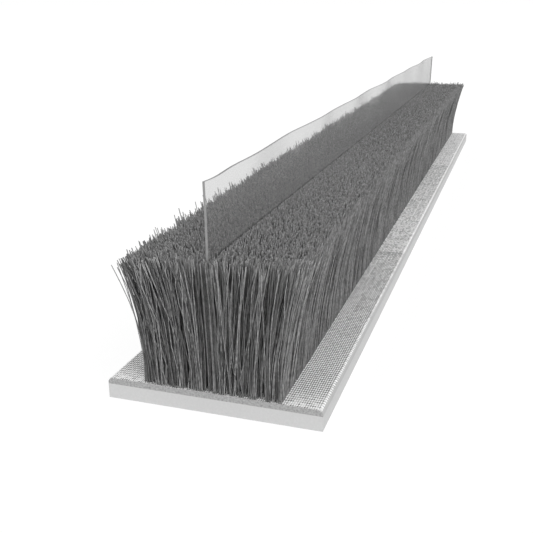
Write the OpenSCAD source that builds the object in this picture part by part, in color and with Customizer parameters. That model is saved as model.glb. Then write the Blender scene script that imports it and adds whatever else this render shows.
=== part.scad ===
// Brush seal strip: a woven pile weatherstrip with a clear film fin, cut to a short length.
// The strip runs along Y and stands on its backing, with the origin at the centre of the underside.

/* [Strip] */
// Length of the cut piece
strip_l = 50; // [20:1:200]
// Width of the backing and of the ground fabric
base_w = 6.7; // [6:0.1:12]

/* [Backing] */
// Thickness of the extruded backing
backing_t = 0.47; // [0.3:0.01:1.5]

/* [Ground fabric] */
// Thickness of the woven ground fabric
ground_t = 0.19; // [0.16:0.01:0.6]
// Radius of the selvedges, the fabric's two rounded long edges
selvedge_r = 0.14; // [0.04:0.01:0.15]

/* [Pile] */
// Width of the whole pile where it leaves the ground fabric
root_w = 4.3; // [3:0.1:5]
// Height of the sheared pile above the ground fabric
pile_h = 4.05; // [2.5:0.05:12]
// How far each long side leans out at the tips
side_splay = 0.6; // [0:0.05:1.2]
// How far the tips lean out at each cut end
end_splay = 0.4; // [0:0.05:1]
// Length of strip over which the lean at a cut end dies away
splay_reach = 1.5; // [0.5:0.1:5]
// Distance from each cut end of the backing to the first filaments
end_inset = 0.07; // [0:0.01:0.5]
// Pitch of the tufts along the strip
tuft_pitch = 1; // [0.8:0.1:2]
// Rows of tufts on each side of the fin
tuft_rows = 3; // [1:1:5]
// Depth of the furrows between neighbouring tufts
furrow_d = 0.06; // [0:0.01:0.1]
// Radius of the pile's upright corners
pile_corner_r = 0.25; // [0.15:0.01:0.3]
// How far the filament tips round over along the sheared edge
tip_round = 0.18; // [0.05:0.01:0.3]

/* [Fin] */
// Thickness of the film
fin_t = 0.07; // [0.04:0.01:0.2]
// Height of the fin's free edge above the pile
fin_rise = 2.25; // [0.5:0.05:5]
// How far the free edge waves to either side
fin_wave = 0.07; // [0:0.01:0.3]
// Length of one long wave of the free edge
fin_wave_l = 12.6; // [5:0.1:40]
// Gap between the film and the pile on each side of it
fin_gap = 0.02; // [0.01:0.01:0.1]

/* [Hidden] */

ground_z = backing_t;
root_z = ground_z + ground_t;
tip_z = root_z + pile_h;

// Plan of one half of the pile at its roots: from the fin out to the long side
pile_in = fin_t / 2 + fin_gap;
pile_out = root_w / 2;
pile_end = strip_l / 2 - end_inset;
row_w = (pile_out - pile_in) / tuft_rows;
tuft_n = round(2 * pile_end / tuft_pitch);
tuft_l = 2 * pile_end / tuft_n;

// The filaments leave the fabric upright and curve outwards, so the lean grows faster than the height
lean_power = 1.8;
lean_levels = [0, 0.3, 0.55, 0.78];

// Straight pieces in each tuft's outline, in each corner's arc and in a millimetre of fin
tuft_steps = 3;
corner_steps = 3;
fin_steps = ceil(strip_l);
// The film hangs straight in the pile, and its wave grows from there to the free edge
fin_levels = [0, 0.5, 1];
wave_power = 1.5;
// A second, shorter wave keeps the free edge from looking regular
short_wave = 0.6;
short_wave_share = 0.62;

backing_colour = [0.81, 0.81, 0.81];
ground_colour = [0.66, 0.66, 0.66];
pile_colour = [0.36, 0.36, 0.36];
fin_colour = [0.9, 0.92, 0.92, 0.4];

// A closed solid through rings of points that run anticlockwise seen from above, lowest ring first.
// The caps are triangles between the points of one ring, in the same sense.
module loft(rings, cap) {
    n = len(rings[0]);
    top = (len(rings) - 1) * n;
    sides = [
        for (k = [0 : len(rings) - 2], i = [0 : n - 1])
            let (a = k * n + i, b = k * n + (i + 1) % n)
                each [[a, a + n, b + n], [a, b + n, b]]
    ];
    lid = [for (t = cap) [top + t[2], top + t[1], top + t[0]]];
    polyhedron(points = [for (ring = rings) each ring], faces = concat(cap, sides, lid));
}

// How deep the furrow is at a step of a tuft's outline: full between two tufts and least at mid tuft
function furrow(step) = furrow_d * pow(cos(180 * step / tuft_steps), 2);

// The outline's points are [x, y, normal x, normal y, furrow depth]
function front_points() = [
    for (i = [1 : tuft_rows * tuft_steps])
        let (x = pile_in + i * row_w / tuft_steps)
            if (x < pile_out - pile_corner_r) [x, -pile_end, 0, -1, furrow(i)]
];
function corner_points() = [
    for (i = [0 : corner_steps])
        let (a = -90 + 90 * i / corner_steps)
            [
                pile_out + pile_corner_r * (cos(a) - 1),
                -pile_end + pile_corner_r * (sin(a) + 1),
                cos(a), sin(a), 0
            ]
];
function side_points() = [
    for (i = [1 : tuft_n * tuft_steps - 1])
        let (y = -pile_end + i * tuft_l / tuft_steps)
            if (abs(y) < pile_end - pile_corner_r) [pile_out, y, 1, 0, furrow(i)]
];
// The same points at the strip's far end, in the order that closes the outline
function far_end(points) = [
    for (i = [len(points) - 1 : -1 : 0])
        let (p = points[i]) [p[0], -p[1], p[2], -p[3], p[4]]
];
function outer_points() = concat(
    front_points(), corner_points(), side_points(), far_end(corner_points()), far_end(front_points())
);
// Along the fin there is one point for each tuft, from the far end to the near one
function inner_points() = [
    for (i = [0 : tuft_n])
        [pile_in, pile_end - i * tuft_l, 0, i == 0 ? 1 : i == tuft_n ? -1 : 0, 0]
];

// The cap fans out from the inner points, and each outer point belongs to the inner one beside it
function half_cap(outer) =
    let (
        n = tuft_n + 1 + len(outer),
        y = concat([-pile_end], [for (p = outer) p[1]], [pile_end]),
        hub = [for (v = y) max(1, min(tuft_n - 1, round((pile_end - v) / tuft_l)))]
    ) [
        for (j = [0 : len(y) - 2])
            let (a = (tuft_n + j) % n, b = (tuft_n + j + 1) % n)
                each concat(
                    a == hub[j] || b == hub[j] ? [] : [[hub[j], a, b]],
                    hub[j] == hub[j + 1] ? [] : [[hub[j], b, hub[j + 1]]]
                )
    ];

// A point of the outline carried up the leaning filaments and drawn in by inset
function leaned(p, lean, inset) =
    let (
        side = side_splay * lean * (p[0] - pile_in) / (pile_out - pile_in),
        end = end_splay * lean * exp((abs(p[1]) - pile_end) / splay_reach),
        drawn_in = p[4] + inset
    )
        [p[0] + side - p[2] * drawn_in, p[1] + sign(p[1]) * end - p[3] * drawn_in];

function pile_ring(outline, level, inset) = [
    for (p = outline)
        let (q = leaned(p, pow(level, lean_power), inset))
            [q[0], q[1], root_z + level * pile_h]
];

module half_pile() {
    outer = outer_points();
    outline = concat(inner_points(), outer);
    shoulder = 1 - tip_round / pile_h;
    rings = concat(
        [for (level = lean_levels) pile_ring(outline, level, 0)],
        [pile_ring(outline, shoulder, 0), pile_ring(outline, 1, tip_round)]
    );
    loft(rings, half_cap(outer));
}

// Sideways offset of the film at a place along the strip, at the free edge
function edge_wave(y) = fin_wave * (
    sin(360 * y / fin_wave_l) * (1 - short_wave_share)
    + sin(360 * y / (fin_wave_l * short_wave)) * short_wave_share
);

// One level of the film: out along its right face and back along its left one
function fin_ring(z, wave) = [
    for (side = [1, -1], i = [0 : fin_steps])
        let (y = side * (i / fin_steps - 0.5) * strip_l)
            [wave * edge_wave(y) + side * fin_t / 2, y, z]
];
function fin_cap() = [
    for (i = [0 : fin_steps - 1])
        let (far = 2 * fin_steps + 1 - i)
            each [[i, i + 1, far - 1], [i, far - 1, far]]
];

// Extruded polypropylene backing that locks the roots of the pile
module backing_strip() {
    color(backing_colour)
        translate([-base_w / 2, -strip_l / 2, 0])
            cube([base_w, strip_l, backing_t]);
}

// Woven ground fabric with its two long top edges rounded
module ground_fabric() {
    straight_w = base_w - 2 * selvedge_r;
    color(ground_colour)
        translate([0, strip_l / 2, ground_z])
            rotate([90, 0, 0])
                linear_extrude(strip_l)
                    intersection() {
                        union() {
                            translate([-straight_w / 2, 0]) square([straight_w, ground_t]);
                            translate([-base_w / 2, 0]) square([base_w, ground_t - selvedge_r]);
                            for (side = [-1, 1])
                                translate([side * straight_w / 2, ground_t - selvedge_r])
                                    circle(r = selvedge_r, $fn = 48);
                        }
                        translate([-base_w / 2, 0]) square([base_w, ground_t]);
                    }
}

module pile_right() {
    color(pile_colour) half_pile();
}

module pile_left() {
    color(pile_colour) mirror([1, 0, 0]) half_pile();
}

// Clear film that stands on the fabric between the two halves of the pile
module fin() {
    free = [for (share = fin_levels) fin_ring(tip_z + share * fin_rise, pow(share, wave_power))];
    color(fin_colour) loft(concat([fin_ring(root_z, 0)], free), fin_cap());
}

backing_strip();
ground_fabric();
pile_left();
pile_right();
fin();
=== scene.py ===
"""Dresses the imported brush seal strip: cut pile, woven fabric, matt backing and clear film."""
import math

import bpy
import numpy as np
from mathutils import Matrix, Vector


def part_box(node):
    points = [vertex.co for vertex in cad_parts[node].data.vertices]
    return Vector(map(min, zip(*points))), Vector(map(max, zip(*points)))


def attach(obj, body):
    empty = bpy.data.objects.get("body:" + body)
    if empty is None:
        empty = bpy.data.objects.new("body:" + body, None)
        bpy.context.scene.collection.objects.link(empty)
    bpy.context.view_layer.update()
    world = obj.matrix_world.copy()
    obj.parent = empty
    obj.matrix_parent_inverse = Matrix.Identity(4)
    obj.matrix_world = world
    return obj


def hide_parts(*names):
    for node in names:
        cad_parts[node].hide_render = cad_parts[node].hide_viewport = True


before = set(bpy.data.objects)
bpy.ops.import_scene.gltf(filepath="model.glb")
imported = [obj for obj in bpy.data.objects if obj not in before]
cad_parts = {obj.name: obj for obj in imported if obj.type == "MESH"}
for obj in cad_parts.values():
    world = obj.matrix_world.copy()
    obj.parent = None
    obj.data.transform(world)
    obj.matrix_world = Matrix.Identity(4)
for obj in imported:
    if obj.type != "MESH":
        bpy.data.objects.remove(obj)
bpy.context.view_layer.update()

MM = 0.001
RNG = np.random.default_rng(1849)
# The clumps of filaments and the uneven edges are drawn apart, so they stay when a count changes
CLUMP_SEED, EDGE_SEED = 77, 5


def top_corner(node):
    """A node's highest corner in millimetres, to the micrometre."""
    return [round(value / MM, 3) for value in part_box(node)[1]]


# Sizes in millimetres, from the boxes of the solids
HALF_W, HALF_L, _ = top_corner("backing_strip")
ROOT_Z = top_corner("ground_fabric")[2]
TIP_Z = top_corner("pile_right")[2]
PILE_H = round(TIP_Z - ROOT_Z, 3)
FIN_RISE = round(top_corner("fin")[2] - TIP_Z, 3)

# Sizes that the boxes don't tell: one half of the pile at its roots and how it leans, the film
# with the waves of its free edge, and the fabric's rounded edge
PILE_IN, PILE_OUT, PILE_END = 0.055, 2.15, HALF_L - 0.07
SIDE_SPLAY, END_SPLAY, SPLAY_REACH, LEAN_POWER = 0.6, 0.4, 1.5, 1.8
FIN_T = 0.07
WAVE, WAVE_POWER, WAVE_L, SHORT_WAVE, SHORT_SHARE = 0.07, 1.5, 12.6, 0.6, 0.62
SELVEDGE_R = 0.14

# Filaments: radius with its least and greatest share, and how many stand on a square millimetre
FILAMENT_R, LEAST_R, GREATEST_R = 0.016, 0.8, 1.12
DENSITY = 350
# Further ones along the long side, along the ends and beside the film, for each millimetre,
# and how far they spread from those lines. The end rows stand a little before the others
SIDE_ROW, END_ROW, FILM_ROW = 36, 32, 12
SIDE_ROW_SPREAD, END_ROW_SPREAD, FILM_ROW_SPREAD = 0.04, 0.02, 0.015
END_ROW_OUT, END_ROW_DEPTH = 0.05, 0.1
# Roots stray from their even places by this share of the pitch
ROOT_JITTER = 0.55
# How deep the long sides and the ends have whole filaments, and the share of them that is whole
SIDE_DEPTH, END_DEPTH, WHOLE_SHARE = 0.2, 1.1, 0.64
# Stubs stand clear of the outline, and change from near to far ones about this place
STUB_INSET, STUB_CHANGE_Y, STUB_CHANGE_SPREAD = 0.14, -7, 3
END_LEVELS = np.array([0, 0.16, 0.34, 0.52, 0.7, 0.85, 1])
SIDE_LEVELS = np.array([0, 0.25, 0.5, 0.75, 1])
NEAR_STUB_LEVELS = np.array([0.72, 0.97, 1])
FAR_STUB_LEVELS = np.array([0.86, 1])
# Tones from 0 to 1 differ by this much either way. Below the tips painted shade darkens them,
# least beside the long side
TONE_SPREAD = 0.47
SIDE_SHADE, SIDE_SHADE_REACH = 0.7, 0.5

# How filaments differ, in millimetres: straying and hooking over at their tips, curling along
# their length, and pulled together by their clump
STRAY, MOST_STRAY, CURL, HOOK, CLUMP_PULL = 0.09, 0.42, 0.016, 0.035, 0.03
CLUMP_PITCH = 0.3
LOOSE_SHARE, LOOSE_STRAY = 0.08, 1.4
# Turns of the curl, and the power of the level by which the straying grows
TURNS, BOW = (0.6, 2.0), (0.7, 2.0)
HOOK_LEVEL = 0.85
# Further out than this they stray less outwards, and this near the film they keep upright
TIGHT_X, TIGHT_STRAY, CALM_REACH = 1.6, 0.3, 0.5
# How far in from a cut end they are wilder
END_REACH = 0.8
# Share of the corner filaments that fan out far, and the power of the level by which they do
FANNED_SHARE, FAN_REACH, FAN_POWER = 0.3, 0.3, 1.15
# Share of the near left corner's filaments that stand back less than the rest, and how far back
# the rest stand
SINGLE_SHARE, STAND_BACK, STAND_POWER = 0.3, 0.36, 1.3
# How fast the leans at the corners die away towards the film
CORNER_POWER = 5

# Heights of the tips: how they differ, how deep the shortest stand, and how far those at the
# cut ends stand up
TIP_SPREAD, SHORTEST, SHORTEST_POWER = 0.014, 0.16, 12
END_RISE, END_RISE_REACH = 0.03, 0.25
# The sheared edge: its reach, how its tips differ, its two swells with their lengths, and its
# groups of like height
EDGE_REACH, EDGE_SPREAD = 0.3, 0.05
SWELL, SWELL_L, RIPPLE, RIPPLE_L = 0.025, 5.3, 0.02, 1.9
GROUP_PITCH, GROUP_SPREAD, GROUPS = 0.37, 0.06, 300
# The left edge droops, with this much more at the near end, and single tips stand out of both
LEFT_DROOP, NEAR_DROOP, DROOP_REACH = 0.2, 0.12, 8
LEFT_SPIKE, RIGHT_SPIKE, SPIKE_POWER = 0.36, 0.24, 6

# The dark core, painted shade, lies this far behind the ends and the long side, and this high
# in the pile
CORE_INSET, CORE_SIDE_INSET, CORE_LEVEL = 0.4, 0.12, 0.74
CORE_STEPS, CORE_RINGS = 60, 6

# Film: what each face holds back, and how much it mirrors at grazing angles
FILM_TINT, FILM_GLOSS = 0.18, 0.6
FILM_STEPS, FILM_RINGS = 300, 15
# Its ring just below the free edge, as a share of its rise above the tips
FILM_RIM = 0.98
# Inside the pile it stops short of the cut ends, at its roots and just below the tips, and the
# filaments nearest to a cut end may cross its line
FILM_ROOT_INSET, FILM_TIP_INSET, FILM_CLEAR = 0.6, 0.17, 0.12
# The free edge dips beside the near end, and has a fine ripple
FILM_DIP, FILM_DIP_FROM_END = 0.07, 0.8
FILM_RIPPLE, FILM_RIPPLE_L, FILM_TILT = 0.004, 3.1, 0.006

# Ground fabric: pitches of its threads, and the bars in its weft
WARP_PITCH, WEFT_PITCH = 0.068, 0.13
BAR_Y, BAR_PITCH = -10.0, 20.5
# Loops of its selvedges: radius of the thread, and how the loops differ
THREAD_R, LOOP_SPREAD, LOOP_Y_SPREAD = 0.02, 0.004, 0.012
# Places along the strip between which the weave's looks change, in millimetres: its threads
# blur and its gaps fill, then it grows duller, fuzzy at the far end, and the painted highlight
# on its shoulders grows brighter
BLUR, WARP_BLUR, CROSSING_BLUR, GAP_FILL = (-22, -14), (-20, -14), (-22, -15), (-20, -5)
FAR_DULLING, FAR_FUZZ, SHOULDER_HIGHLIGHT_RISE = (-14, -6), (12, 25), (-16, 0)
# Brightness of the weave before and after it blurs
WEAVE_NEAR, WEAVE_FAR = 1.5, 2.0

# White floor and world: how bright they look, the floor's share of that, and the world's light
WHITE_STRENGTH, FLOOR_WHITE_SHARE = 1.07, 0.82
WORLD_STRENGTH = 0.7
FLOOR_HALF = 2000


# Meshes

def mesh_object(name, points, faces_by_size, material, smooth=True):
    """A mesh object from points in millimetres and face arrays, one for each number of corners."""
    mesh = bpy.data.meshes.new(name)
    mesh.vertices.add(len(points))
    mesh.vertices.foreach_set("co", (np.asarray(points, dtype=np.float32) * MM).ravel())
    corners = np.concatenate([f.ravel() for f in faces_by_size]).astype(np.int32)
    sizes = np.concatenate([np.full(len(f), f.shape[1]) for f in faces_by_size])
    mesh.loops.add(len(corners))
    mesh.loops.foreach_set("vertex_index", corners)
    mesh.polygons.add(len(sizes))
    mesh.polygons.foreach_set("loop_start", (np.cumsum(sizes) - sizes).astype(np.int32))
    mesh.update(calc_edges=True)
    mesh.polygons.foreach_set("use_smooth", np.full(len(sizes), smooth))
    obj = bpy.data.objects.new(name, mesh)
    bpy.context.scene.collection.objects.link(obj)
    mesh.materials.append(material)
    return obj


def tubes(name, paths, radii, material, tones_and_shade=None, upright=True, sides=3):
    """Thin tubes with cut tips along paths[tube, point, xyz], with radii[tube].

    tones_and_shade[tube, point], a tone with any painted shade, become the mesh's "tone". The
    sections of upright tubes lie level, and those of the others stand across the tube.
    """
    count, steps, _ = paths.shape
    angle = RNG.uniform(0, 2 * math.pi, count)[:, None] + np.arange(sides) * 2 * math.pi / sides
    cosine, sine = np.cos(angle), np.sin(angle)
    if upright:
        ring = np.stack([cosine, sine, np.zeros_like(angle)], axis=-1)[:, None]
    else:
        strip_axis = np.array([0.0, 1.0, 0.0])
        ahead = np.gradient(paths, axis=1)
        ahead /= np.linalg.norm(ahead, axis=2, keepdims=True)
        beside = np.cross(ahead, strip_axis)
        ring = beside[:, :, None] * cosine[:, None, :, None]
        ring = ring + strip_axis * sine[:, None, :, None]
    points = paths[:, :, None, :] + radii[:, None, None, None] * ring
    first = (np.arange(count) * steps * sides)[:, None, None]
    level = (np.arange(steps - 1) * sides)[None, :, None]
    side = np.arange(sides)[None, None, :]
    here = first + level + side
    beside = first + level + (side + 1) % sides
    walls = np.stack([here, beside, beside + sides, here + sides], axis=-1).reshape(-1, 4)
    tips = (first[:, 0] + (steps - 1) * sides + np.arange(sides)).reshape(-1, sides)
    obj = mesh_object(name, points.reshape(-1, 3), [walls, tips], material)
    if tones_and_shade is not None:
        tone = obj.data.attributes.new("tone", "FLOAT", "POINT")
        tone.data.foreach_set("value", np.repeat(tones_and_shade.ravel(), sides).astype(np.float32))
    return obj


def lofted(name, rings, material, inside_out=False):
    """A closed form through rings of equal length, whose two long sides face each other."""
    n, half = len(rings[0]), len(rings[0]) // 2
    points = np.concatenate(rings)
    here = np.arange(n)
    beside = (here + 1) % n
    walls = [
        np.stack([low + here, low + beside, low + n + beside, low + n + here], axis=-1)
        for low in range(0, (len(rings) - 1) * n, n)
    ]
    j = np.arange(half - 1)
    top = (len(rings) - 1) * n + np.stack([j, j + 1, n - 2 - j, n - 1 - j], axis=-1)
    bottom = np.stack([j, n - 1 - j, n - 2 - j, j + 1], axis=-1)
    faces = np.concatenate(walls + [top, bottom])
    if inside_out:
        faces = faces[:, ::-1]
    return mesh_object(name, points, [faces], material, smooth=False)


# Pile

def fading(distance, reach):
    """1 at no distance, falling to about a third at the reach."""
    return np.exp(-distance / reach)


def leaned(x, y, level):
    """Where a filament rooted at x, y passes at a level from 0 at the fabric to 1 at the tips."""
    lean = level ** LEAN_POWER
    out = SIDE_SPLAY * lean * (np.abs(x) - PILE_IN) / (PILE_OUT - PILE_IN)
    # Towards the near right corner the tips lean out less and less, and at last stand back
    splay = END_SPLAY * (1 - 1.25 * np.where(y < 0, np.clip(x, 0, None), 0) / PILE_OUT)
    end = splay * lean * fading(PILE_END - np.abs(y), SPLAY_REACH)
    return x + np.sign(x) * out, y + np.sign(y) * end


def clump_offsets(x, y):
    """The shared sideways pull of each little clump of filaments."""
    columns, rows = 100, 400
    column = np.floor(x / CLUMP_PITCH).astype(int) + columns // 2
    row = np.floor(y / CLUMP_PITCH).astype(int) + rows // 2
    pull = np.random.default_rng(CLUMP_SEED).normal(0, CLUMP_PULL, (rows, columns, 2))
    return pull[row, column]


def filament_bends(x, y, freedom, at_end):
    """How far each filament strays and curls, and how far its tip hooks over, in x and y."""
    count = len(x)
    stray = RNG.normal(0, STRAY, (count, 2)) * (freedom * (1 + 1.7 * at_end))[:, None]
    loose = RNG.random(count) < LOOSE_SHARE
    stray[loose] *= LOOSE_STRAY
    stray = stray.clip(-MOST_STRAY, MOST_STRAY)
    outward = np.sign(x) * stray[:, 0] > 0
    stray[:, 0] *= np.where(outward & (np.abs(x) > TIGHT_X), TIGHT_STRAY, 1)
    curl = RNG.normal(0, CURL, (count, 2)) * (freedom * (1 + at_end))[:, None]
    curl[:, 1] *= 1 + at_end
    hook = RNG.normal(0, HOOK, (count, 2)) * freedom[:, None]
    return stray, curl, hook


def filament_heights(x, y, calm):
    """Heights above the fabric: the shears cut the tips level, but along the edges they differ."""
    count = len(x)
    from_side, from_end = PILE_OUT - np.abs(x), PILE_END - np.abs(y)
    height = PILE_H + RNG.normal(0, TIP_SPREAD, count) * calm
    height -= SHORTEST * calm * RNG.random(count) ** SHORTEST_POWER
    height += END_RISE * fading(from_end, END_RISE_REACH)
    edge = fading(np.minimum(from_side, from_end), EDGE_REACH)
    height += edge * RNG.normal(0, EDGE_SPREAD, count)
    # Along the long sides the sheared edge rises and falls a little, and single tips stand out
    swell = SWELL * np.sin(2 * math.pi * y / SWELL_L + x)
    ripple = RIPPLE * np.sin(2 * math.pi * y / RIPPLE_L + 2 * x)
    droop = np.where(x < 0, LEFT_DROOP + NEAR_DROOP * fading(y + PILE_END, DROOP_REACH), 0)
    group = np.floor((y + 2 * HALF_L) / GROUP_PITCH).astype(int)
    grouped = np.random.default_rng(EDGE_SEED).normal(0, GROUP_SPREAD, GROUPS)[group]
    spikes = np.where(x < 0, LEFT_SPIKE, RIGHT_SPIKE) * RNG.random(count) ** SPIKE_POWER
    height += fading(from_side, EDGE_REACH) * (swell + ripple + grouped - droop + spikes)
    return height


def corner_leans(x, y):
    """How much each filament belongs to a corner, and how far it leans over the cut and outwards."""
    count = len(x)
    from_end = PILE_END - np.abs(y)
    outermost = (np.abs(x) / PILE_OUT) ** CORNER_POWER
    # Some filaments at the strip's corners fan out over the cut
    corner = fading(from_end, FAN_REACH) * outermost
    fans_far = RNG.random(count) < FANNED_SHARE
    fan = np.where(fans_far, RNG.uniform(0.06, 0.32, count), RNG.uniform(0, 0.1, count))
    # At the near left corner most filaments stand back, and single ones lean out past them
    near_left = ((x < 0) & (y < 0)) * fading(from_end, END_REACH) * outermost
    single = RNG.random(count) < SINGLE_SHARE
    outwards = np.where(single, RNG.uniform(-0.3, 0.12, count), -STAND_BACK)
    return corner, corner * fan * np.sign(y), near_left * outwards


def filament_paths(x, y, levels, wildness):
    """The centre lines of filaments rooted at x, y, through the given levels."""
    count = len(x)
    from_end = PILE_END - np.abs(y)
    # Filaments beside the film keep upright, and so do those deep in the pile
    calm = np.clip((np.abs(x) - PILE_IN) / CALM_REACH, 0.1, 1)
    inside = np.minimum(PILE_OUT - np.abs(x), from_end)
    freedom = wildness * calm * np.clip(1.4 - inside / 0.7, 0.25, 1)
    at_end = fading(from_end, END_REACH)
    stray, curl, hook = filament_bends(x, y, freedom, at_end)
    phase = RNG.uniform(0, 2 * math.pi, count)
    turns = RNG.uniform(*TURNS, count)
    bow = RNG.uniform(*BOW, count)
    pull = stray + clump_offsets(x, y) * (freedom * (0.15 + 0.85 * at_end))[:, None]
    height = filament_heights(x, y, calm)
    corner, fan, lean_out = corner_leans(x, y)
    curl *= (1 - 0.6 * corner)[:, None]
    hook *= calm[:, None]
    paths = np.empty((count, len(levels), 3))
    for i, level in enumerate(levels):
        wave = np.sin(2 * math.pi * turns * level + phase) - np.sin(phase)
        bend = level ** bow
        straight = np.stack(leaned(x, y, level), axis=-1)
        paths[:, i, :2] = straight + bend[:, None] * pull + wave[:, None] * curl
        paths[:, i, 1] += fan * level ** FAN_POWER
        # Only left ones lean out or stand back, so outwards is towards lower x
        paths[:, i, 0] -= lean_out * level ** STAND_POWER
        paths[:, i, :2] += hook * max(0, level - HOOK_LEVEL) / (1 - HOOK_LEVEL)
        paths[:, i, 2] = ROOT_Z + level * height
    # Nothing crosses the film, and only the filaments before its ends may cross its line
    side = np.sign(x)[:, None]
    kept = side * np.maximum(side * paths[:, :, 0], FIN_T / 2 + FILAMENT_R)
    paths[:, :, 0] = np.where(from_end[:, None] < FILM_CLEAR, paths[:, :, 0], kept)
    return paths


def filament_roots(side):
    """Where one half's filaments stand, and which of them belong to its close outer rows."""
    pitch = 1 / math.sqrt(DENSITY)
    across = np.arange(PILE_IN + pitch / 2, PILE_OUT, pitch)
    along = np.arange(-PILE_END + pitch / 2, PILE_END, pitch)
    x, y = [
        axis.ravel() + RNG.uniform(-ROOT_JITTER, ROOT_JITTER, axis.size) * pitch
        for axis in np.meshgrid(across, along)
    ]
    side_n, film_n = int(SIDE_ROW * 2 * PILE_END), int(FILM_ROW * 2 * PILE_END)
    end_n = int(END_ROW * 2 * PILE_OUT)
    side_x = PILE_OUT - RNG.exponential(SIDE_ROW_SPREAD, side_n)
    side_y = RNG.uniform(-PILE_END, PILE_END, side_n)
    end_x = RNG.uniform(FIN_T / 2, PILE_OUT, end_n)
    set_back = RNG.exponential(END_ROW_SPREAD, end_n).clip(0, END_ROW_DEPTH)
    end_y = (PILE_END + END_ROW_OUT - set_back) * RNG.choice([-1, 1], end_n)
    film_x = PILE_IN + RNG.exponential(FILM_ROW_SPREAD, film_n)
    film_y = RNG.uniform(-PILE_END, PILE_END, film_n)
    in_row = np.repeat([False, True, False], [len(x), side_n + end_n, film_n])
    x = side * np.concatenate([x, side_x, end_x, film_x])
    y = np.concatenate([y, side_y, end_y, film_y])
    return x, y, in_row


def pile_half(side, material, painted_shade_material):
    """One half of the pile: whole filaments at its faces, stubs over the rest and a dark core
    painted with shade.
    """
    node = "pile_right" if side > 0 else "pile_left"
    x, y, in_row = filament_roots(side)
    from_side, from_end = PILE_OUT - np.abs(x), PILE_END - np.abs(y)
    ends = np.abs(y) > PILE_END - END_DEPTH
    face = ends | (np.abs(x) > PILE_OUT - SIDE_DEPTH)
    # The faces are thinner sown than the top, so that the core's painted shade shows between their
    # filaments: the rest of them show their tips alone
    whole = face & (in_row | (RNG.random(len(x)) < WHOLE_SHARE))
    inside = np.minimum(from_side, from_end) > STUB_INSET
    wildness = np.clip(1.25 - from_end / 4, 0.75, 1.25)
    pieces = []

    def grow(name, chosen, levels, contrast, mean_tone, share_left_in_shade=1.0):
        spread = RNG.uniform(-TONE_SPREAD, TONE_SPREAD, chosen.sum())
        tones_and_shade = mean_tone + contrast * spread
        # Painted shade: stubs darken below their tips, least of all beside the long side
        shade = share_left_in_shade + (1 - share_left_in_shade) * SIDE_SHADE * fading(from_side[chosen], SIDE_SHADE_REACH)
        tones_and_shade = tones_and_shade[:, None] * np.where(levels < 1, shade[:, None], 1)
        radii = FILAMENT_R * RNG.uniform(LEAST_R, GREATEST_R, chosen.sum())
        paths = filament_paths(x[chosen], y[chosen], levels, wildness[chosen])
        pieces.append(tubes(name, paths, radii, material, tones_and_shade))

    grow(f"{node}_ends", whole & ends, END_LEVELS, contrast=0.9, mean_tone=0.46)
    grow(f"{node}_side", whole & ~ends, SIDE_LEVELS, contrast=0.3, mean_tone=0.45)
    # The nearer stubs show more of themselves, and the change to the plainer ones is gradual
    near = y < STUB_CHANGE_Y + RNG.normal(0, STUB_CHANGE_SPREAD, len(y))
    stubs = ~whole & inside
    near_stubs, far_stubs = stubs & near, stubs & ~near
    grow(f"{node}_tips_near", near_stubs, NEAR_STUB_LEVELS, contrast=0.5, mean_tone=0.53, share_left_in_shade=0.35)
    grow(f"{node}_tips_far", far_stubs, FAR_STUB_LEVELS, contrast=0.9, mean_tone=0.4, share_left_in_shade=0)
    pieces.append(pile_shade_core(f"{node}_core", side, painted_shade_material))
    for piece in pieces:
        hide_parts(node)
    return pieces


def pile_shade_core(name, side, material):
    """The mass of filaments inside, painted shade that shows only as darkness between the outer
    ones.
    """
    end = PILE_END - CORE_INSET
    along = np.linspace(-end, end, CORE_STEPS)
    x = np.repeat([PILE_OUT - CORE_SIDE_INSET, PILE_IN + 0.01], CORE_STEPS)
    y = np.concatenate([along, along[::-1]])
    rings = []
    for level in np.linspace(0, CORE_LEVEL, CORE_RINGS):
        px, py = leaned(x, y, level)
        rings.append(np.stack([side * px, py, np.full(len(x), ROOT_Z + level * PILE_H)], axis=-1))
    return lofted(name, rings, material, inside_out=side < 0)


# Film

def film_sheet(material, end_material, edge_material):
    """The clear film, straight in the pile and gently waved along its free edge."""
    y = np.linspace(-HALF_L, HALF_L, FILM_STEPS)
    long_wave = np.sin(2 * math.pi * y / WAVE_L) * (1 - SHORT_SHARE)
    short_wave = np.sin(2 * math.pi * y / (WAVE_L * SHORT_WAVE)) * SHORT_SHARE
    ripple = FILM_RIPPLE * np.sin(2 * math.pi * y / FILM_RIPPLE_L + 1)
    dip = FILM_DIP * np.exp(-(y + HALF_L - FILM_DIP_FROM_END) ** 2)
    # Rings by their share of the rise: the roots, just inside the pile, and from there to the edge
    shares = np.concatenate([[-PILE_H / FIN_RISE], np.linspace(-0.1, FILM_RIM, FILM_RINGS), [1]])
    insets = np.zeros(len(shares))
    insets[:2] = FILM_ROOT_INSET, FILM_TIP_INSET
    rings = []
    for share, inset in zip(shares, insets):
        grown = max(share, 0) ** WAVE_POWER
        tilt = FILM_TILT * math.sin(5 * share)
        x = grown * WAVE * (long_wave + short_wave) + max(share, 0) * (ripple + tilt)
        z = TIP_Z + share * FIN_RISE - grown * dip
        along = y * (1 - inset / HALF_L)
        right = np.stack([x + FIN_T / 2, along, z], axis=-1)
        left = np.stack([x - FIN_T / 2, along, z], axis=-1)[::-1]
        rings.append(np.concatenate([right, left]))
    film = lofted("film", rings, material)
    film.data.materials.append(end_material)
    film.data.materials.append(edge_material)
    # The material of a face follows the axis that it faces most
    normals = np.empty(3 * len(film.data.polygons), dtype=np.float32)
    film.data.polygons.foreach_get("normal", normals)
    facing = np.abs(normals.reshape(-1, 3)).argmax(axis=1)
    film.data.polygons.foreach_set("material_index", facing.astype(np.int32))
    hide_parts("fin")
    return film


# Selvedges

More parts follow.
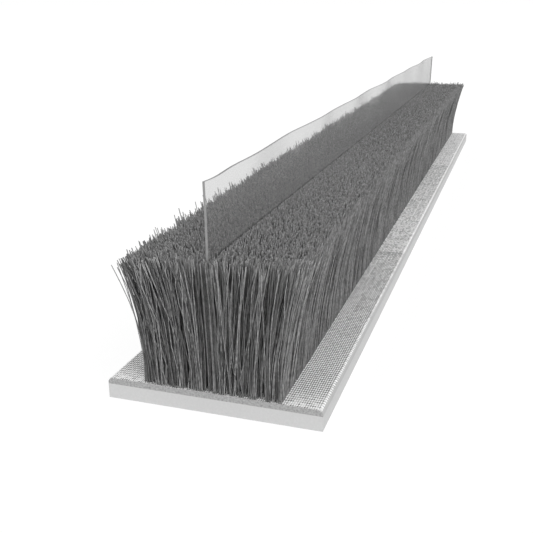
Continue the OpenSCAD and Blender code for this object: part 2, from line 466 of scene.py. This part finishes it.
def selvedge(side, material):
    """The weft's loops, which turn over the fabric's long edge."""
    name = "selvedge_right" if side > 0 else "selvedge_left"
    y = np.arange(-HALF_L + WEFT_PITCH / 2, HALF_L, WEFT_PITCH)
    count = len(y)
    turn = np.linspace(0.2, 0.8, 4)
    reach = SELVEDGE_R - 0.008 + RNG.normal(0, LOOP_SPREAD, count).clip(-0.008, 0.01)
    centre_x, centre_z = HALF_W - SELVEDGE_R, ROOT_Z - SELVEDGE_R
    paths = np.empty((count, len(turn), 3))
    for i, angle in enumerate(turn):
        # Both ends of a loop sink into the fabric
        sunk = 0.93 if i in (0, len(turn) - 1) else 1
        paths[:, i, 0] = side * (centre_x + sunk * reach * math.sin(angle))
        paths[:, i, 1] = y + RNG.normal(0, LOOP_Y_SPREAD, count)
        paths[:, i, 2] = centre_z + sunk * reach * math.cos(angle)
    radii = np.full(count, THREAD_R)
    return tubes(name, paths, radii, material, upright=False)


# Materials

class Nodes:
    """Short calls for building the node tree of a material or of the world."""

    def __init__(self, owner, output="ShaderNodeOutputMaterial"):
        owner.use_nodes = True
        self.owner = owner
        self.tree = owner.node_tree
        self.tree.nodes.clear()
        self.output = self.tree.nodes.new(output)

    def add(self, kind, **inputs):
        node = self.tree.nodes.new(kind)
        for key, value in inputs.items():
            self.feed(node.inputs[key.replace("_", " ")], value)
        return node

    def feed(self, socket, value):
        if isinstance(value, bpy.types.NodeSocket):
            self.tree.links.new(value, socket)
        else:
            socket.default_value = value

    def math(self, operation, *values):
        node = self.tree.nodes.new("ShaderNodeMath")
        node.operation = operation
        for socket, value in zip(node.inputs, values):
            self.feed(socket, value)
        return node.outputs[0]

    def product(self, value, *factors):
        for factor in factors:
            value = self.math("MULTIPLY", value, factor)
        return value

    def mix(self, factor, a, b):
        node = self.tree.nodes.new("ShaderNodeMix")
        node.data_type = "RGBA"
        self.feed(node.inputs[0], factor)
        self.feed(node.inputs[6], a)
        self.feed(node.inputs[7], b)
        return node.outputs[2]

    def mix_shaders(self, factor, a, b):
        node = self.tree.nodes.new("ShaderNodeMixShader")
        for socket, value in zip(node.inputs, (factor, a, b)):
            self.feed(socket, value)
        return node.outputs[0]

    def ranged(self, value, low, high, to_low, to_high, smooth=False):
        """The value carried from one range to another, and held at its ends."""
        node = self.add(
            "ShaderNodeMapRange", Value=value,
            From_Min=low, From_Max=high, To_Min=to_low, To_Max=to_high,
        )
        node.interpolation_type = "SMOOTHSTEP" if smooth else "LINEAR"
        return node.outputs[0]

    def noise(self, scale, detail=2.0, stretch=None):
        """Noise of so many grains a metre, drawn out along an axis whose stretch is under 1."""
        place = self.place()
        if stretch:
            place = self.add("ShaderNodeMapping", Vector=place, Scale=stretch).outputs[0]
        return self.add(
            "ShaderNodeTexNoise", Scale=scale, Detail=detail, Vector=place
        ).outputs["Fac"]

    def place(self):
        """The object's own coordinates in metres."""
        return self.tree.nodes.new("ShaderNodeTexCoord").outputs["Object"]

    def normal(self):
        return self.tree.nodes.new("ShaderNodeNewGeometry").outputs["Normal"]

    def split(self, vector):
        """The x, y and z of a vector."""
        return self.add("ShaderNodeSeparateXYZ", Vector=vector).outputs

    def bump(self, height, strength, distance):
        return self.add(
            "ShaderNodeBump", Height=height, Strength=strength, Distance=distance
        ).outputs[0]

    def principled(self, colour, roughness, **inputs):
        return self.add(
            "ShaderNodeBsdfPrincipled", Base_Color=colour, Roughness=roughness, **inputs
        ).outputs[0]

    def seen(self):
        """1 for camera, glossy and transmitted rays, and 0 for those that only carry light."""
        path = self.tree.nodes.new("ShaderNodeLightPath").outputs
        indirect = self.math("MAXIMUM", path["Is Glossy Ray"], path["Is Transmission Ray"])
        return self.math("MAXIMUM", path["Is Camera Ray"], indirect)

    def surface(self, shader):
        self.feed(self.output.inputs["Surface"], shader)
        return self.owner


def material_nodes(name):
    return Nodes(bpy.data.materials.new(name))


def grey(value):
    return (value, value, value, 1.0)


def filament_material():
    """Dark grey polypropylene: a dull sheen, and differences from one filament to the next."""
    n = material_nodes("pile_filament")
    dark, pale = grey(0.06), grey(0.53)
    # The "tone" attribute holds each filament's own tone, darkened by painted shade below the stubs'
    # tips
    tone = n.add("ShaderNodeAttribute")
    tone.attribute_name = "tone"
    colour = n.mix(tone.outputs["Fac"], dark, pale)
    streak = n.ranged(n.noise(8500.0), 0.38, 0.62, 0.0, 0.55)
    return n.surface(n.principled(n.mix(streak, colour, dark), roughness=0.42))


def shade_core_material():
    """Painted shade in place of the inner filaments: darkness, with the streaks of further
    filaments, also in painted shade, along the sides.
    """
    n = material_nodes("pile_shade_core")
    dark = n.mix(n.noise(9000.0), grey(0.05), grey(0.13))
    upright = n.noise(9000.0, stretch=(1.0, 1.0, 0.08))
    streaked = n.mix(n.ranged(upright, 0.35, 0.65, 0.0, 1.0), grey(0.1), grey(0.24))
    sideways = n.math("ABSOLUTE", n.split(n.normal())["X"])
    colour = n.mix(n.ranged(sideways, 0.6, 0.8, 0.0, 1.0), dark, streaked)
    return n.surface(n.principled(colour, roughness=0.9))


def weave_material():
    """Plain weave of pale threads over dark gaps, with a grainy grey edge where it was cut."""
    n = material_nodes("ground_weave")
    x, y, z = n.split(n.place())
    wobble = n.math("MULTIPLY", n.math("SUBTRACT", n.noise(900.0, 1.0), 0.5), 0.05 * MM)
    across = n.math("ADD", n.math("ADD", n.math("ABSOLUTE", x), z), wobble)
    u = n.math("DIVIDE", across, WARP_PITCH * MM)
    v = n.math("DIVIDE", n.math("ADD", y, wobble), WEFT_PITCH * MM)

    def crown(t, fullness):
        """Round top of a thread, 0 at its edges and 1 along its middle."""
        off = n.math("SUBTRACT", n.math("MULTIPLY", n.math("FRACT", t), 2.0), 1.0)
        return n.math("SUBTRACT", 1.0, n.math("POWER", n.math("ABSOLUTE", off), fullness))

    def along(stretch, low, high):
        """Eases from low to high over a stretch of the strip, in millimetres."""
        start, end = stretch
        return n.ranged(y, start * MM, end * MM, low, high, smooth=True)

    def random_tone(low, column, row):
        """A tone between low and 1 for each cell of the weave."""
        cell = n.add("ShaderNodeCombineXYZ", X=column, Y=row)
        drawn = n.add("ShaderNodeTexWhiteNoise", Vector=cell.outputs[0])
        return n.ranged(drawn.outputs["Value"], 0.0, 1.0, low, 1.0)

    # Each crossing shows the warp or the weft thread on top, in turn
    warp, weft = n.math("FLOOR", u), n.math("FLOOR", v)
    turn = n.math("FRACT", n.math("MULTIPLY", n.math("ADD", warp, weft), 0.5))
    on_top = n.ranged(turn, 0.2, 0.3, 0.62, 1.0)
    height = n.product(crown(u, 2.0), crown(v, 2.5), on_top)
    # Fuzz fills the gaps towards the far end, where the threads differ more from one to the next
    gap_fill = along(GAP_FILL, 0.0, 0.8)
    covered = n.math("MAXIMUM", n.ranged(height, 0.18, 0.34, 0.0, 1.0), gap_fill)
    crossings = random_tone(along(CROSSING_BLUR, 0.65, 0.5), warp, weft)
    segment = n.math("FLOOR", n.math("MULTIPLY", v, 0.4))
    warp_segments = random_tone(along(WARP_BLUR, 0.9, 0.7), warp, segment)
    warp_threads = random_tone(along(BLUR, 0.9, 0.8), warp, 0.0)
    weft_threads = random_tone(along(BLUR, 1.0, 0.8), 0.0, weft)
    # At each bar paler yarn begins in the weft, and it grows duller up to the next bar
    from_bar = n.math("SUBTRACT", y, BAR_Y * MM)
    repeat = n.math("FRACT", n.math("DIVIDE", from_bar, BAR_PITCH * MM))
    dulled = n.product(
        n.ranged(repeat, 0.3, 1.0, 1.0, 0.8), n.ranged(repeat, 0.97, 0.98, 1.0, 0.88)
    )
    tone = n.product(
        covered, crossings, warp_segments, warp_threads, weft_threads, dulled,
        along(BLUR, WEAVE_NEAR, WEAVE_FAR), along(FAR_DULLING, 1.0, 0.88),
    )
    threads = n.mix(tone, grey(0.03), grey(1.0))

    # The threads come loose at the cut ends
    at_cut = n.ranged(n.math("ABSOLUTE", y), 24.0 * MM, 24.8 * MM, 0.0, 0.8)
    loose = n.math("MAXIMUM", at_cut, along(FAR_FUZZ, 0.0, 0.4))
    fuzz = n.ranged(n.noise(7000.0), 0.4, 0.6, 0.0, 1.0)
    threads = n.mix(n.product(loose, fuzz), threads, grey(1.0))

    # A painted highlight lies along the rounded top of each selvedge, brighter towards the far
    # end, above a plain side
    normal = n.split(n.normal())
    sideways = n.math("ABSOLUTE", normal["X"])
    shoulder_highlight = n.ranged(sideways, 0.2, 0.3, 0.0, along(SHOULDER_HIGHLIGHT_RISE, 0.15, 0.8))
    threads = n.mix(shoulder_highlight, threads, grey(1.0))
    threads = n.mix(n.ranged(sideways, 0.65, 0.75, 0.0, 1.0), threads, grey(0.5))

    cut = n.math("GREATER_THAN", n.math("ABSOLUTE", normal["Y"]), 0.6)
    uncut = n.math("SUBTRACT", 1.0, cut)
    grain = n.noise(16000.0, 3.0)
    colour = n.mix(cut, threads, n.mix(grain, grey(0.1), grey(0.62)))
    relief = n.math("ADD", n.product(height, uncut), n.product(grain, cut, 0.3))
    bump = n.bump(relief, strength=0.7, distance=0.03 * MM)
    return n.surface(n.principled(colour, roughness=0.78, Normal=bump))


def thread_material():
    """The selvedge's pale loops."""
    n = material_nodes("selvedge_thread")
    colour = n.mix(n.noise(5200.0), grey(0.55), grey(1.0))
    return n.surface(n.principled(colour, roughness=0.7))


def backing_material():
    """Pale matt polypropylene with fine grain and faint extrusion lines."""
    n = material_nodes("backing")
    lines = n.noise(5200.0, stretch=(1.0, 0.03, 1.0))
    grain = n.noise(14000.0, 3.0)
    colour = n.mix(grain, grey(0.55), grey(0.67))
    colour = n.mix(n.math("MULTIPLY", n.noise(420.0), 0.3), colour, grey(0.53))
    height = n.math("ADD", n.math("MULTIPLY", lines, 0.6), n.math("MULTIPLY", grain, 0.5))
    bump = n.bump(height, strength=0.35, distance=0.01 * MM)
    return n.surface(n.principled(colour, roughness=0.62, Normal=bump, Specular_IOR_Level=0.15))


def film_material():
    """Clear polypropylene film: a faint grey tint, and gloss that grows at grazing angles."""
    n = material_nodes("film")
    flow = n.noise(900.0, stretch=(1.0, 0.25, 1.0))
    tint_colour = n.mix(flow, grey(0.17), grey(0.25))
    tint = n.principled(tint_colour, roughness=0.1, Alpha=FILM_TINT)
    roughness = n.math("ADD", 0.16, n.math("MULTIPLY", flow, 0.08))
    gloss = n.add("ShaderNodeBsdfGlossy", Color=grey(0.45), Roughness=roughness)
    haze = n.add("ShaderNodeBsdfDiffuse", Color=n.mix(flow, grey(0.4), grey(0.48)))
    sheen = n.mix_shaders(0.7, gloss.outputs[0], haze.outputs[0])
    facing = n.add("ShaderNodeLayerWeight", Blend=0.5).outputs["Facing"]
    grazing = n.math("MULTIPLY", n.math("POWER", facing, 5.5), FILM_GLOSS)
    return n.surface(n.mix_shaders(grazing, tint, sheen))


def film_cut_material(name, darkest, lightest):
    """A cut edge of the film, where the light that the film carries comes out."""
    n = material_nodes(name)
    colour = n.mix(n.noise(6000.0, 1.0), grey(darkest), grey(lightest))
    return n.surface(n.principled(colour, roughness=0.35))


def dress(node, material):
    """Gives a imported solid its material."""
    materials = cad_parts[node].data.materials
    materials.clear()
    materials.append(material)


def round_edges(node, width):
    """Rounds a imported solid's sharp edges, in millimetres."""
    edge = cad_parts[node].modifiers.new("edge", "BEVEL")
    edge.width, edge.segments, edge.limit_method = width * MM, 2, "ANGLE"


# Stage, light and camera

def white_floor():
    n = material_nodes("floor")
    paper = n.mix(n.noise(60.0), grey(0.84), grey(0.86))
    lit = n.add("ShaderNodeBsdfDiffuse", Color=paper).outputs[0]
    white = n.add("ShaderNodeEmission", Color=grey(1.0), Strength=WHITE_STRENGTH).outputs[0]
    material = n.surface(
        n.mix_shaders(n.math("MULTIPLY", n.seen(), FLOOR_WHITE_SHARE), lit, white)
    )
    corners = np.array([[-1, -1, 0], [1, -1, 0], [1, 1, 0], [-1, 1, 0]]) * FLOOR_HALF
    face = np.array([[0, 1, 2, 3]])
    mesh_object("floor", corners, [face], material, smooth=False)


def white_world():
    """White to look at, and a softer light for the rest."""
    world = bpy.data.worlds.new("studio")
    bpy.context.scene.world = world
    n = Nodes(world, "ShaderNodeOutputWorld")
    strength = n.ranged(n.seen(), 0.0, 1.0, WORLD_STRENGTH, 1.0)
    n.surface(n.add("ShaderNodeBackground", Color=grey(1.0), Strength=strength).outputs[0])


def sun(name, azimuth, elevation, strength, spread):
    """A soft lamp from that side: azimuth 0 is the strip's front, 90 its right."""
    lamp = bpy.data.lights.new(name, "SUN")
    lamp.energy = strength
    lamp.angle = math.radians(spread)
    obj = bpy.data.objects.new(name, lamp)
    a, e = math.radians(azimuth), math.radians(elevation)
    toward = Vector((math.sin(a) * math.cos(e), -math.cos(a) * math.cos(e), math.sin(e)))
    obj.rotation_mode = "QUATERNION"
    obj.rotation_quaternion = (-toward).to_track_quat("-Z", "Y")
    bpy.context.scene.collection.objects.link(obj)


def camera():
    """The photograph's own viewpoint: close, a little right of the strip and 19 degrees above."""
    place = Vector((7.8456, -43.7325, 11.4542)) * MM
    yaw, pitch, roll = math.radians(-18.145), math.radians(18.83), math.radians(-0.183)
    data = bpy.data.cameras.new("camera")
    data.sensor_width, data.lens = 36.0, 52.686
    data.clip_start, data.clip_end = 0.001, 10.0
    forward = Vector((math.sin(yaw), math.cos(yaw), 0))
    ahead = forward * math.cos(pitch) - Vector((0, 0, math.sin(pitch)))
    level = Vector((math.cos(yaw), -math.sin(yaw), 0))
    above = level.cross(ahead)
    right = level * math.cos(roll) + above * math.sin(roll)
    up = above * math.cos(roll) - level * math.sin(roll)
    turn = Matrix((right, up, -ahead)).transposed().to_4x4()
    obj = bpy.data.objects.new("camera", data)
    obj.matrix_world = Matrix.Translation(place) @ turn
    bpy.context.scene.collection.objects.link(obj)
    bpy.context.scene.camera = obj


# The scene

round_edges("backing_strip", 0.03)
dress("backing_strip", backing_material())
dress("ground_fabric", weave_material())
filament, core, thread = filament_material(), shade_core_material(), thread_material()
pieces = []
for half in (1, -1):
    pieces += pile_half(half, filament, core)
for half in (1, -1):
    pieces.append(selvedge(half, thread))
film_end = film_cut_material("film_end", 0.22, 0.32)
film_edge = film_cut_material("film_edge", 0.1, 0.16)
pieces.append(film_sheet(film_material(), film_end, film_edge))
for piece in pieces:
    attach(piece, "root")

white_floor()
white_world()
sun("key", azimuth=42, elevation=36, strength=1.35, spread=60)
sun("fill", azimuth=-60, elevation=45, strength=0.3, spread=80)
camera()
bpy.context.scene.view_settings.view_transform = "Standard"
